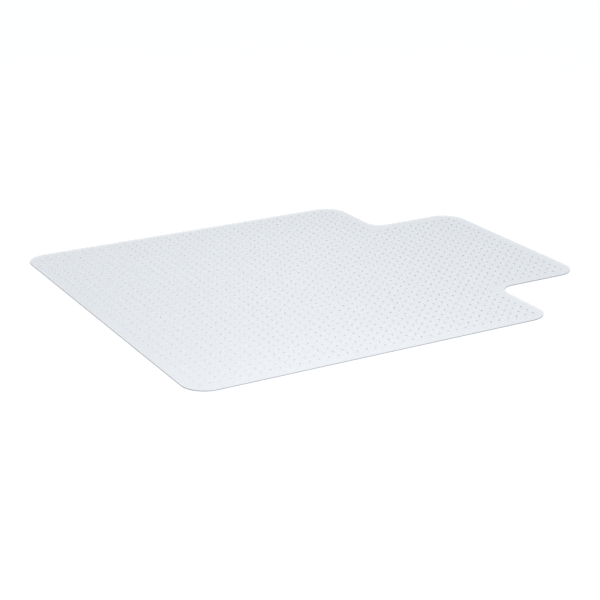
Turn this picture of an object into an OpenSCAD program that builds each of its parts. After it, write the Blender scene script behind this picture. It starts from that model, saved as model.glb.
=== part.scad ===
// Lipped office chair mat for carpet.
// A thin clear sheet with a lip for the desk kneehole.
// Gripper studs under the sheet point down into the carpet.
// Millimetres. X runs across the mat, +Y towards the lip, +Z up.
// The origin is on the floor under the middle of the mat.

/* [Sheet] */
// Width across the desk
sheet_w = 1143; // [1110:1:1300]
// Length from the rear edge to the end of the lip
sheet_l = 1346; // [1200:1:1500]
// Thickness
sheet_t = 2.6; // [2:0.1:5]
// Radius of the three-way corners of the body
corner_r = 67; // [30:1:90]
// Bevel along the upper edge
top_bevel = 0.8; // [0.3:0.1:1]
// Bevel along the lower edge
low_bevel = 0.4; // [0.2:0.1:0.8]

/* [Lip] */
// Width
lip_w = 648; // [500:1:700]
// How far it reaches past the body
lip_l = 289; // [200:1:400]
// Radius of its outer corners
lip_r = 69; // [30:1:90]
// Radius of the inner corners where it leaves the body
fillet_r = 48; // [20:1:80]

/* [Studs] */
// Height, from the floor to the underside of the sheet
stud_h = 4.8; // [3:0.1:8]
// Radius at the sheet
stud_base_r = 2.4; // [2:0.1:3.5]
// Radius where the round of the tip starts
stud_neck_r = 1.1; // [0.9:0.1:1.6]
// Radius of the flat at the end of the tip
stud_tip_r = 0.6; // [0.3:0.1:0.7]
// Height of the round of the tip
stud_tip_h = 0.5; // [0.3:0.1:1]
// Spacing across the mat
stud_pitch_x = 26.8; // [24:0.1:34]
// Spacing along the body
stud_pitch_y = 27.35; // [24:0.05:34]
// Spacing along the lip
lip_pitch_y = 28.85; // [24:0.05:34]
// Place of the middle column beside the centreline
stud_shift_x = -10.8; // [-13:0.1:13]
// Place of the first row inside the rear edge
stud_first_y = 39.4; // [30:0.1:50]
// Plain border without studs along every edge
stud_border = 22; // [15:0.5:30]
// Distance of the outer bearing studs from the edges
bearing_in = 60; // [50:1:80]

/* [Hidden] */
half_w = sheet_w / 2;
half_l = sheet_l / 2;
half_lip = lip_w / 2;
body_y = half_l - lip_l;
body_l = sheet_l - lip_l;
body_mid = body_y - body_l / 2;
root_x = half_lip + fillet_r;
first_y = -half_l + stud_first_y;
side_cols = ceil(half_w / stud_pitch_x);
last_row = ceil(sheet_l / stud_pitch_y);
body_rows = ceil((body_y - stud_border - first_y) / stud_pitch_y);
third = round(body_rows / 3);
lip_row = body_rows + 1;
clear = 1;
bearing_x = half_w - bearing_in;
lip_bearing_x = half_lip - bearing_in;
bearing_spots = [
    for (x = [-bearing_x, 0, bearing_x], y = [bearing_in - half_l, body_mid, body_y - bearing_in]) [x, y],
    for (x = [-lip_bearing_x, 0, lip_bearing_x]) [x, half_l - bearing_in]
];

sheet_colour = [0.86, 0.89, 0.93, 0.5];
stud_colour = [0.72, 0.75, 0.79, 0.6];

// One side of the sheet's section, from its inside at 0 out to its edge at reach.
module edge_section(reach) {
    polygon([
        [0, 0],
        [reach - low_bevel, 0],
        [reach, low_bevel],
        [reach, sheet_t - top_bevel],
        [reach - top_bevel, sheet_t],
        [0, sheet_t]
    ]);
}

// A strip whose edge faces +X, out to reach, running along +Y.
module edge_strip(reach, run) {
    translate([0, run, 0]) rotate([90, 0, 0]) linear_extrude(run) edge_section(reach);
}

// A quarter disc with the same edge, in the +X +Y quarter.
module edge_corner(radius) {
    rotate_extrude(angle = 90, $fn = 96) edge_section(radius);
}

// What a round inner corner takes away, with the same edge.
module inner_cut() {
    rotate_extrude($fn = 96) polygon([
        [0, -clear],
        [fillet_r + low_bevel + clear, -clear],
        [fillet_r, low_bevel],
        [fillet_r, sheet_t - top_bevel],
        [fillet_r + top_bevel + clear, sheet_t + clear],
        [0, sheet_t + clear]
    ]);
}

// The body at x above 0, without the middle.
module body_side() {
    run_y = body_l - 2 * corner_r;
    run_x = half_w - corner_r - root_x;
    translate([half_w - corner_r, corner_r - half_l, 0]) {
        edge_strip(corner_r, run_y);
        rotate([0, 0, -90]) edge_corner(corner_r);
        translate([0, run_y, 0]) edge_corner(corner_r);
    }
    translate([root_x, body_mid, 0]) rotate([0, 0, -90]) edge_strip(body_l / 2, run_x);
    translate([half_w - corner_r, body_mid, 0]) rotate([0, 0, 90]) edge_strip(body_l / 2, run_x);
}

// The middle of the body at x above 0, up to where the lip starts.
module body_middle() {
    translate([0, body_y - fillet_r, 0]) rotate([0, 0, -90]) edge_strip(body_l - fillet_r, root_x);
    difference() {
        translate([0, body_y - fillet_r, 0]) cube([root_x, 2 * fillet_r, sheet_t]);
        translate([root_x, body_y + fillet_r, 0]) inner_cut();
    }
}

// The lip at x above 0.
module lip_side() {
    translate([0, body_y + fillet_r, 0]) edge_strip(half_lip, lip_l - fillet_r - lip_r);
    translate([half_lip - lip_r, half_l - lip_r, 0]) {
        edge_corner(lip_r);
        rotate([0, 0, 90]) edge_strip(lip_r, half_lip - lip_r);
    }
}

module sheet_half() {
    body_side();
    body_middle();
    lip_side();
}

// One stud, tip down on the floor.
module stud() {
    rotate_extrude($fn = 24) polygon([
        [0, 0],
        [stud_tip_r, 0],
        [stud_neck_r, stud_tip_h],
        [stud_base_r, stud_h],
        [0, stud_h]
    ]);
}

// How far a point is outside a rounded rectangle, negative inside it.
function outside(p, middle, half, r) =
    let (q = [abs(p[0] - middle[0]) - half[0] + r, abs(p[1] - middle[1]) - half[1] + r])
    norm([max(q[0], 0), max(q[1], 0)]) + min(max(q[0], q[1]), 0) - r;

// The same for the mat, whose lip counts as running back into the body.
function off_mat(p) = min(
    outside(p, [0, body_mid], [half_w, body_l / 2], corner_r),
    outside(p, [0, half_l - lip_l], [half_lip, lip_l], lip_r)
);

function column_x(i) = stud_shift_x + i * stud_pitch_x;
function row_y(k) = k <= lip_row ?
    first_y + k * stud_pitch_y :
    row_y(lip_row) + (k - lip_row) * lip_pitch_y;
function near_column(x) = round((x - stud_shift_x) / stud_pitch_x);
function near_row(y) = y <= row_y(lip_row) ?
    round((y - first_y) / stud_pitch_y) :
    lip_row + round((y - row_y(lip_row)) / lip_pitch_y);
function bears(i, k) =
    len([for (s = bearing_spots) if (near_column(s[0]) == i && near_row(s[1]) == k) 1]) > 0;

// All studs of some rows that aren't bearing studs.
module stud_rows(from, to) {
    for (k = [from:to]) {
        for (i = [-side_cols:side_cols]) {
            if (off_mat([column_x(i), row_y(k)]) <= -stud_border && !bears(i, k))
                translate([column_x(i), row_y(k), 0]) stud();
        }
    }
}

module mat_sheet() {
    color(sheet_colour) translate([0, 0, stud_h]) {
        sheet_half();
        mirror([1, 0, 0]) sheet_half();
    }
}

module bearing_studs() {
    color(stud_colour) for (s = bearing_spots) {
        translate([column_x(near_column(s[0])), row_y(near_row(s[1])), 0]) stud();
    }
}

module rear_studs() {
    color(stud_colour) stud_rows(0, third - 1);
}

module middle_studs() {
    color(stud_colour) stud_rows(third, 2 * third - 1);
}

module front_studs() {
    color(stud_colour) stud_rows(2 * third, body_rows - 1);
}

module lip_studs() {
    color(stud_colour) stud_rows(body_rows, last_row);
}

mat_sheet();
bearing_studs();
rear_studs();
middle_studs();
front_studs();
lip_studs();
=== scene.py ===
"""Looks of the lipped chair mat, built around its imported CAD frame.

The sheet and its gripper studs are rebuilt in mesh code with moulded edges, and get
procedural materials. Everything is in metres, in the part's frame.
"""

import math

import bpy
import numpy as np
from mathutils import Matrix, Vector


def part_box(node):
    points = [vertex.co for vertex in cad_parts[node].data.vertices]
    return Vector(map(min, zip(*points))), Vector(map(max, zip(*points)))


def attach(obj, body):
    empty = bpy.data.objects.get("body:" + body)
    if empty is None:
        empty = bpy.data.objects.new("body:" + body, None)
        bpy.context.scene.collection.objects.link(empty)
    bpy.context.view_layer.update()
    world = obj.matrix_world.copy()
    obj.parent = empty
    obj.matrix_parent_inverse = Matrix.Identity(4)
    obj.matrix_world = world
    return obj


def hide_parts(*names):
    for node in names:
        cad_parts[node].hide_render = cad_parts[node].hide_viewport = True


MM = 0.001

# The sheet, as in the CAD
LIP_W, LIP_L = 648 * MM, 289 * MM
CORNER_R, LIP_R, FILLET_R = 67 * MM, 69 * MM, 48 * MM
TOP_ROUND, LOW_ROUND = 0.8 * MM, 0.4 * MM
ARC_STEPS = 28
ROUND_STEPS, CUT_STEPS = 6, 4  # steps round each edge, and how many of them look cut

# The studs: (radius, height) up the side of one that is STUD_H high, in millimetres
STUD_TIP = [(0.35, 0.0), (0.72, 0.07), (0.98, 0.26), (1.12, 0.55)]
STUD_FLANK = [(1.45, 1.7), (2.05, 3.9)]
STUD_ROOT = [(2.25, 4.35), (2.5, 4.65), (2.8, 4.8)]
STUD_H = 4.8 * MM
STUD_SIDES = 16
STUD_GAP = 5 * MM  # the tips of neighbours are further apart than this, and each is smaller
TIP_DEPTH = 0.01 * MM  # CAD points this close to a node's lowest are on a stud's tip
STUD_NODES = ("bearing_studs", "rear_studs", "middle_studs", "front_studs", "lip_studs")

# The core of a stud, inside the sheet
CORE_R, CORE_H = 2.5 * MM, 1.6 * MM
CORE_NECK = 0.05 * MM  # the rise over which the root narrows to the core

# Material slots: the sheet's faces, then its cut edge; a stud's skin, then its core
FACE_SLOT, CUT_SLOT, CORE_SLOT = 0, 1, 1

# The sheet's faces: clear, with a grain that makes up most of the changes in tint
SHEET_TINT_LOW, SHEET_TINT_HIGH = (0.07, 0.13, 0.20, 1.0), (0.38, 0.44, 0.50, 1.0)
SHEET_ALPHA = 0.22
SHEET_ROUGH = (0.36, 0.5)
SHEET_CLOUD = (3.0, 3.0)  # here and below, a noise is its scale and its detail
GRAIN = (1000.0, 3.0)
GRAIN_FROM, GRAIN_TO = 0.3, 0.7  # noise levels that the grain's tint runs between
GRAIN_SHARE = 0.85
GRAIN_BUMP = (0.12, 0.2 * MM)  # a bump is its strength and its height

# The sheet's cut edge, from outside and as it shows through the sheet; from outside its darkness is
# painted shade and its bluish cast the polymer's own
CUT_SHADED_TINT_LOW, CUT_SHADED_TINT_HIGH = (0.195, 0.23, 0.28, 1.0), (0.225, 0.26, 0.31, 1.0)
CUT_BACK_TINT = (0.80, 0.82, 0.84, 1.0)
CUT_CLOUD = (12.0, 2.0)
SCRATCH = (900.0, 2.0)
CUT_ROUGH = (0.25, 0.45)
SCRATCH_BUMP = (0.2, 0.1 * MM)

# A stud's skin
STUD_TINT_LOW, STUD_TINT_HIGH = (0.78, 0.81, 0.84, 1.0), (0.82, 0.85, 0.88, 1.0)
STUD_ALPHA = 0.10
STUD_ROUGH = 0.3
STUD_CLOUD = (60.0, 2.0)

# A stud's core: its tint is painted shade for the darkening of the studs seen through the sheet, darker
# the further along the trend it lies
CORE_SHADE_PALE_TINT, CORE_SHADE_DEEP_TINT = (0.54, 0.56, 0.58, 1.0), (0.005, 0.007, 0.01, 1.0)
CORE_SHADE_TREND = (0.25, 1.0, 0.0)
CORE_PALE_AT, CORE_DEEP_AT = -0.62, 0.36  # how far along the trend each tint is reached
CORE_SPREAD = 0.5  # how far along the trend the cloudiness can shift a core's tint
CORE_CLOUD = (60.0, 2.0)
CORE_ALPHA = 0.225
CORE_ROUGH = 0.6

POLYMER_IOR = 1.5

# The studio
FLOOR_SIZE = 30.0
FLOOR_ALBEDO, FLOOR_GLOW = 0.2, 0.8
FLOOR_CLOUD = (0.7, 2.0)
FLOOR_ROUGH = (0.85, 0.95)
WORLD_COLOUR, WORLD_STRENGTH = (0.935, 0.975, 1.0, 1.0), 1.03
LAMP_COLOUR = (1.0, 0.87, 0.79)
LAMPS = [  # name, place, what it points at, diameter, watts
    ("key", (1.4, -0.4, 1.0), (0.0, 0.0, 0.0), 1.0, 28.5),
    ("fill", (-0.2, 0.0, 0.8), (-0.2, 0.0, 0.0), 0.5, 2.7),
]

# The camera, azimuth and elevation in degrees
LENS_MM, SENSOR_MM = 92.37, 36.0
AZIMUTH, ELEVATION = 60.552, 20.252
DISTANCE = 4.1832
AIM = Vector((0.13363, -0.1392, 0.0048))
CLIP_NEAR, CLIP_FAR = 0.05, 100.0


def ring_faces(count, rings):
    """Faces of a closed solid through rings of equal length, the two ends last."""
    faces = [
        (k * count + i, k * count + (i + 1) % count,
         (k + 1) * count + (i + 1) % count, (k + 1) * count + i)
        for k in range(rings - 1) for i in range(count)
    ]
    faces.append(tuple(reversed(range(count))))
    faces.append(tuple(range((rings - 1) * count, rings * count)))
    return faces


def add_mesh(name, verts, faces, smooth, slots):
    """A new object in the scene; smooth and slots have one value for each face."""
    mesh = bpy.data.meshes.new(name)
    mesh.from_pydata(verts, [], faces)
    mesh.polygons.foreach_set("use_smooth", smooth)
    mesh.polygons.foreach_set("material_index", slots)
    mesh.update()
    obj = bpy.data.objects.new(name, mesh)
    bpy.context.collection.objects.link(obj)
    return obj


def arc(cx, cy, r, start, end):
    """Points of an arc, angles in degrees."""
    return [
        (cx + r * math.cos(a), cy + r * math.sin(a))
        for a in np.radians(np.linspace(start, end, ARC_STEPS))
    ]


def mat_outline(half_w, half_l, inset):
    """The mat's outline, anticlockwise from above, moved inwards by inset."""
    body_y = half_l - LIP_L
    lip = LIP_W / 2
    c, l, f = CORNER_R - inset, LIP_R - inset, FILLET_R + inset
    side, foot = half_w - CORNER_R, CORNER_R - half_l
    shoulder, lip_x = body_y - CORNER_R, lip - LIP_R
    lip_y, root = half_l - LIP_R, lip + FILLET_R
    return (
        arc(-side, foot, c, 180, 270)
        + arc(side, foot, c, 270, 360)
        + arc(side, shoulder, c, 0, 90)
        + arc(root, body_y + FILLET_R, f, 270, 180)
        + arc(lip_x, lip_y, l, 0, 90)
        + arc(-lip_x, lip_y, l, 90, 180)
        + arc(-root, body_y + FILLET_R, f, 0, -90)
        + arc(-side, shoulder, c, 90, 180)
    )


def edge_profile(low, high):
    """(inset, height) up the sheet's edge, from its underside round both rounds to its top."""
    angles = np.linspace(0, math.pi / 2, ROUND_STEPS + 1)
    foot = [
        (LOW_ROUND * (1 - math.cos(a)), low + LOW_ROUND * (1 - math.sin(a)))
        for a in reversed(angles)
    ]
    head = [
        (TOP_ROUND * (1 - math.cos(a)), high - TOP_ROUND * (1 - math.sin(a)))
        for a in angles
    ]
    return foot + head


def build_sheet():
    """The sheet as one closed solid, with its cut edge in a slot of its own."""
    low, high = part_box("mat_sheet")
    profile = edge_profile(low.z, high.z)
    verts = [
        (x, y, z)
        for inset, z in profile
        for x, y in mat_outline(high.x, high.y, inset)
    ]
    count = len(verts) // len(profile)
    faces = ring_faces(count, len(profile))
    bands = len(profile) - 1
    clear = ROUND_STEPS - CUT_STEPS
    slots = []
    for k in range(bands):
        slots += [CUT_SLOT if clear <= k < bands - clear else FACE_SLOT] * count
    slots += [FACE_SLOT] * 2
    smooth = [True] * (count * bands) + [False, False]
    return add_mesh("sheet", verts, faces, smooth, slots)


def lanes(places):
    """The row or column that each place is in, counted up from the lowest."""
    order = np.argsort(places)
    starts = np.diff(places[order], prepend=places[order[0]]) > STUD_GAP
    lane = np.empty(len(places), dtype=int)
    lane[order] = np.cumsum(starts)
    return lane


def stud_centres(node):
    """The middle of each stud's tip, from the CAD node."""
    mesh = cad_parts[node].data
    co = np.zeros(len(mesh.vertices) * 3)
    mesh.vertices.foreach_get("co", co)
    co = co.reshape(-1, 3)
    tips = co[co[:, 2] < co[:, 2].min() + TIP_DEPTH, :2]
    cell = np.stack([lanes(tips[:, 0]), lanes(tips[:, 1])], axis=1)
    keys, where = np.unique(cell, axis=0, return_inverse=True)
    where = where.ravel()
    return [
        (tips[where == k].min(axis=0) + tips[where == k].max(axis=0)) / 2
        for k in range(len(keys))
    ]


def stud_profile(height):
    """(radius, height) from the tip up through the root, where the core runs into the sheet."""
    side = STUD_TIP + STUD_FLANK + STUD_ROOT
    points = [(r * MM, z * MM * height / STUD_H) for r, z in side]
    return points + [(CORE_R, height + CORE_NECK), (CORE_R, height + CORE_H)]


def build_studs(name, node):
    """All studs of a CAD node as one object of separate closed solids."""
    low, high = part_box(node)
    profile = stud_profile(high.z - low.z)
    angles = [2 * math.pi * i / STUD_SIDES for i in range(STUD_SIDES)]
    local = np.array([
        [(r * math.cos(a), r * math.sin(a), low.z + z) for a in angles]
        for r, z in profile
    ]).reshape(-1, 3)
    one = ring_faces(STUD_SIDES, len(profile))
    sides = len(one) - 2
    core = STUD_SIDES * 2
    smooth_one = [True] * sides + [False, False]
    slots_one = [FACE_SLOT] * (sides - core) + [CORE_SLOT] * core + [FACE_SLOT, CORE_SLOT]
    verts, faces, smooth, slots = [], [], [], []
    for x, y in stud_centres(node):
        base = len(verts)
        verts += (local + (x, y, 0)).tolist()
        faces += [tuple(base + i for i in f) for f in one]
        smooth += smooth_one
        slots += slots_one
    return add_mesh(name, verts, faces, smooth, slots)


class Look:
    """A new material with short calls for its nodes. Inputs are sockets or plain values."""

    def __init__(self, name):
        self.material = bpy.data.materials.new(name)
        self.material.use_nodes = True
        self.tree = self.material.node_tree
        self.tree.nodes.clear()

    def add(self, kind, inputs=None, **settings):
        node = self.tree.nodes.new(kind)
        for key, value in settings.items():
            setattr(node, key, value)
        for key, value in (inputs or {}).items():
            if isinstance(value, bpy.types.NodeSocket):
                self.tree.links.new(value, node.inputs[key])
            else:
                node.inputs[key].default_value = value
        return node

    def place(self):
        return self.add("ShaderNodeTexCoord").outputs["Object"]

    def noise(self, scale, detail):
        node = self.add("ShaderNodeTexNoise", {"Vector": self.place(), "Scale": scale, "Detail": detail})
        return node.outputs["Fac"]

    def between(self, value, low, high):
        """A value that runs from low to high as another runs from 0 to 1."""
        node = self.add("ShaderNodeMapRange", {"Value": value, "To Min": low, "To Max": high})
        return node.outputs["Result"]

    def tint(self, factor, low, high):
        node = self.add("ShaderNodeMix", {"Factor": factor, "A": low, "B": high}, data_type="RGBA")
        return node.outputs["Result"]

    def bump(self, height, strength, distance):
        node = self.add("ShaderNodeBump", {"Height": height, "Strength": strength, "Distance": distance})
        return node.outputs["Normal"]

    def finish(self, inputs):
        """End with one shader, and give the material."""
        shader = self.add("ShaderNodeBsdfPrincipled", inputs)
        self.add("ShaderNodeOutputMaterial", {"Surface": shader.outputs["BSDF"]})
        return self.material


def sheet_material():
    """Clear polymer, slightly cloudy, with a fine matte grain."""
    look = Look("frosted_sheet")
    grain = look.noise(*GRAIN)
    fleck = look.add("ShaderNodeMapRange", {
        "Value": grain,
        "From Min": GRAIN_FROM,
        "From Max": GRAIN_TO,
        "To Max": GRAIN_SHARE,
    })
    mixed = look.add("ShaderNodeMath", {
        0: look.noise(*SHEET_CLOUD),
        1: 1.0 - GRAIN_SHARE,
        2: fleck.outputs["Result"],
    }, operation="MULTIPLY_ADD")
    return look.finish({
        "Base Color": look.tint(mixed.outputs["Value"], SHEET_TINT_LOW, SHEET_TINT_HIGH),
        "Roughness": look.between(grain, *SHEET_ROUGH),
        "IOR": POLYMER_IOR,
        "Alpha": SHEET_ALPHA,
        "Normal": look.bump(grain, *GRAIN_BUMP),
    })


def cut_material():
    """The sheet's cut edge: bluish with painted shade from outside, pale where it shows through the
    sheet.
    """
    look = Look("cut_edge")
    inside = look.add("ShaderNodeNewGeometry").outputs["Backfacing"]
    scratch = look.noise(*SCRATCH)
    # painted shade: the edge is dark from outside, with the polymer's own bluish cast
    shaded_tint = look.tint(look.noise(*CUT_CLOUD), CUT_SHADED_TINT_LOW, CUT_SHADED_TINT_HIGH)
    return look.finish({
        "Base Color": look.tint(inside, shaded_tint, CUT_BACK_TINT),
        "Roughness": look.between(scratch, *CUT_ROUGH),
        "IOR": POLYMER_IOR,
        "Normal": look.bump(scratch, *SCRATCH_BUMP),
    })


def stud_material():
    """The skin of the studs, the same polymer, which hardly shows."""
    look = Look("stud_polymer")
    return look.finish({
        "Base Color": look.tint(look.noise(*STUD_CLOUD), STUD_TINT_LOW, STUD_TINT_HIGH),
        "Roughness": STUD_ROUGH,
        "IOR": POLYMER_IOR,
        "Alpha": STUD_ALPHA,
    })


def core_material():
    """The root of each stud inside the sheet, with a tint of painted shade that is darker towards the
    lip and varies at random.
    """
    look = Look("stud_core_painted_shade")
    along = look.add("ShaderNodeVectorMath", {0: look.place(), 1: CORE_SHADE_TREND}, operation="DOT_PRODUCT")
    level = look.add("ShaderNodeMath", {
        0: look.noise(*CORE_CLOUD),
        1: CORE_SPREAD,
        2: along.outputs["Value"],
    }, operation="MULTIPLY_ADD")
    painted_shade = look.add("ShaderNodeMapRange", {
        "Value": level.outputs["Value"],
        "From Min": CORE_SPREAD / 2 + CORE_PALE_AT,
        "From Max": CORE_SPREAD / 2 + CORE_DEEP_AT,
    })
    return look.finish({
        # painted shade: the core's tint darkens towards the lip, standing in for the darkening of studs
        # seen through the sheet
        "Base Color": look.tint(painted_shade.outputs["Result"], CORE_SHADE_PALE_TINT, CORE_SHADE_DEEP_TINT),
        "Roughness": CORE_ROUGH,
        "IOR": POLYMER_IOR,
        "Alpha": CORE_ALPHA,
    })


def floor_material():
    """A studio floor that glows, so that it stays white beside and under the mat."""
    look = Look("pale_floor")
    look.material.cycles.emission_sampling = "NONE"
    return look.finish({
        "Base Color": (FLOOR_ALBEDO, FLOOR_ALBEDO, FLOOR_ALBEDO, 1.0),
        "Roughness": look.between(look.noise(*FLOOR_CLOUD), *FLOOR_ROUGH),
        "Specular IOR Level": 0.0,
        "Emission Color": (1.0, 1.0, 1.0, 1.0),
        "Emission Strength": FLOOR_GLOW,
    })


def build_floor():
    half = FLOOR_SIZE / 2
    corners = [(-half, -half, 0), (half, -half, 0), (half, half, 0), (-half, half, 0)]
    obj = add_mesh("floor", corners, [(0, 1, 2, 3)], [False], [0])
    obj.data.materials.append(floor_material())


def build_world():
    world = bpy.data.worlds.new("studio")
    bpy.context.scene.world = world
    world.use_nodes = True
    background = world.node_tree.nodes["Background"]
    background.inputs["Color"].default_value = WORLD_COLOUR
    background.inputs["Strength"].default_value = WORLD_STRENGTH


def add_lamp(name, place, aim, size, power):
    """A round soft lamp."""
    light = bpy.data.lights.new(name, "AREA")
    light.shape = "DISK"
    light.size = size
    light.energy = power
    light.color = LAMP_COLOUR
    obj = bpy.data.objects.new(name, light)
    obj.location = place
    obj.rotation_mode = "QUATERNION"
    obj.rotation_quaternion = (Vector(aim) - Vector(place)).to_track_quat("-Z", "Y")
    bpy.context.collection.objects.link(obj)


def build_camera():
    a, e = math.radians(AZIMUTH), math.radians(ELEVATION)
    back = Vector((math.sin(a) * math.cos(e), -math.cos(a) * math.cos(e), math.sin(e)))
    data = bpy.data.cameras.new("camera")
    data.lens, data.sensor_width = LENS_MM, SENSOR_MM
    data.clip_start, data.clip_end = CLIP_NEAR, CLIP_FAR
    camera = bpy.data.objects.new("camera", data)
    camera.location = AIM + back * DISTANCE
    camera.rotation_mode = "QUATERNION"
    camera.rotation_quaternion = (-back).to_track_quat("-Z", "Y")
    bpy.context.collection.objects.link(camera)
    bpy.context.scene.camera = camera


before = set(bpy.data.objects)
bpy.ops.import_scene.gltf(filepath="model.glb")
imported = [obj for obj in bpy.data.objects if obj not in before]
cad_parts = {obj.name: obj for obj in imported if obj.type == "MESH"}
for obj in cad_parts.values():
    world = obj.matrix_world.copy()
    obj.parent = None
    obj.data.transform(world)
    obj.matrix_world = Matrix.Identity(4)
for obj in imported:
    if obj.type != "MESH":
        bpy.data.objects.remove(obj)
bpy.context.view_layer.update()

bpy.context.scene.view_settings.view_transform = "Standard"

sheet = build_sheet()
sheet.data.materials.append(sheet_material())
sheet.data.materials.append(cut_material())
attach(sheet, "root")
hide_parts("mat_sheet")

stud_side = stud_material()
stud_core_painted_shade = core_material()
for node in STUD_NODES:
    group = build_studs(node.replace("_studs", "_grippers"), node)
    group.data.materials.append(stud_side)
    group.data.materials.append(stud_core_painted_shade)
    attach(group, "root")
    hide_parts(node)

build_floor()
build_world()
for lamp in LAMPS:
    add_lamp(*lamp)
build_camera()
